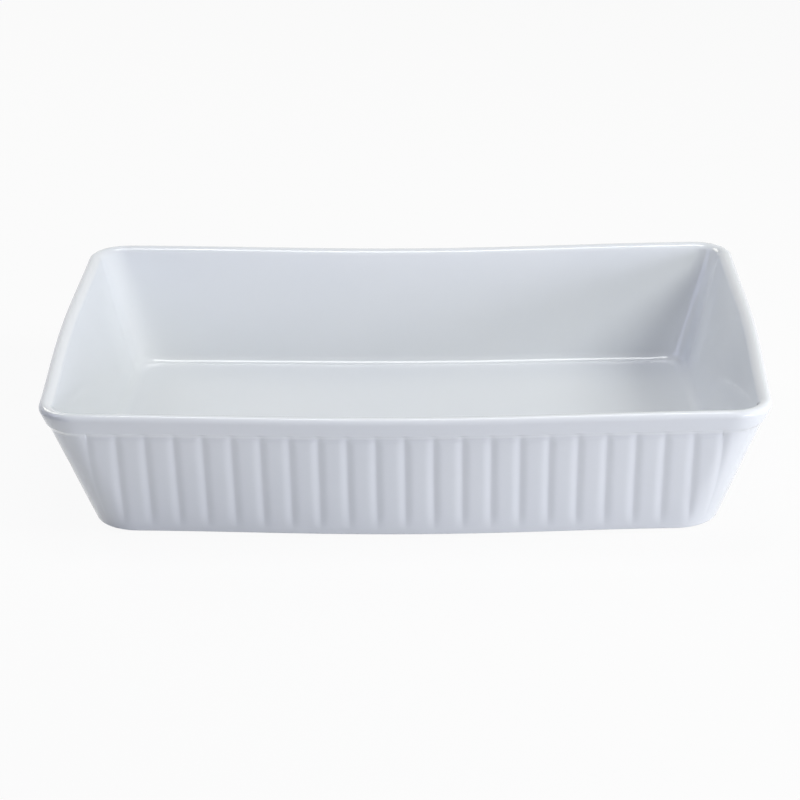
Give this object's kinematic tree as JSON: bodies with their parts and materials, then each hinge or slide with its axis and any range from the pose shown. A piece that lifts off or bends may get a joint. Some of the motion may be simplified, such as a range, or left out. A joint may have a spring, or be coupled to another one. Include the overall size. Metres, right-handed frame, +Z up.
{
  "type": "oven dish",
  "caption": "Rectangular glazed ceramic oven dish with sloping ribbed walls, a plain collar under a rounded rim, and a dry foot ring.",
  "frame": {"origin": "centre of the foot plane, the level that the dish stands on", "axes": "+X along the long sides, +Y from the front long side to the back one, +Z up through the open mouth"},
  "size_m": [0.33, 0.22, 0.066],
  "materials": {
    "stoneware": "matte",
    "white_glaze": "gloss"
  },
  "bodies": {
    "root": {"dish_body": "stoneware", "glaze_coat": "white_glaze", "base_glaze": "white_glaze"}
  },
  "joints": []
}
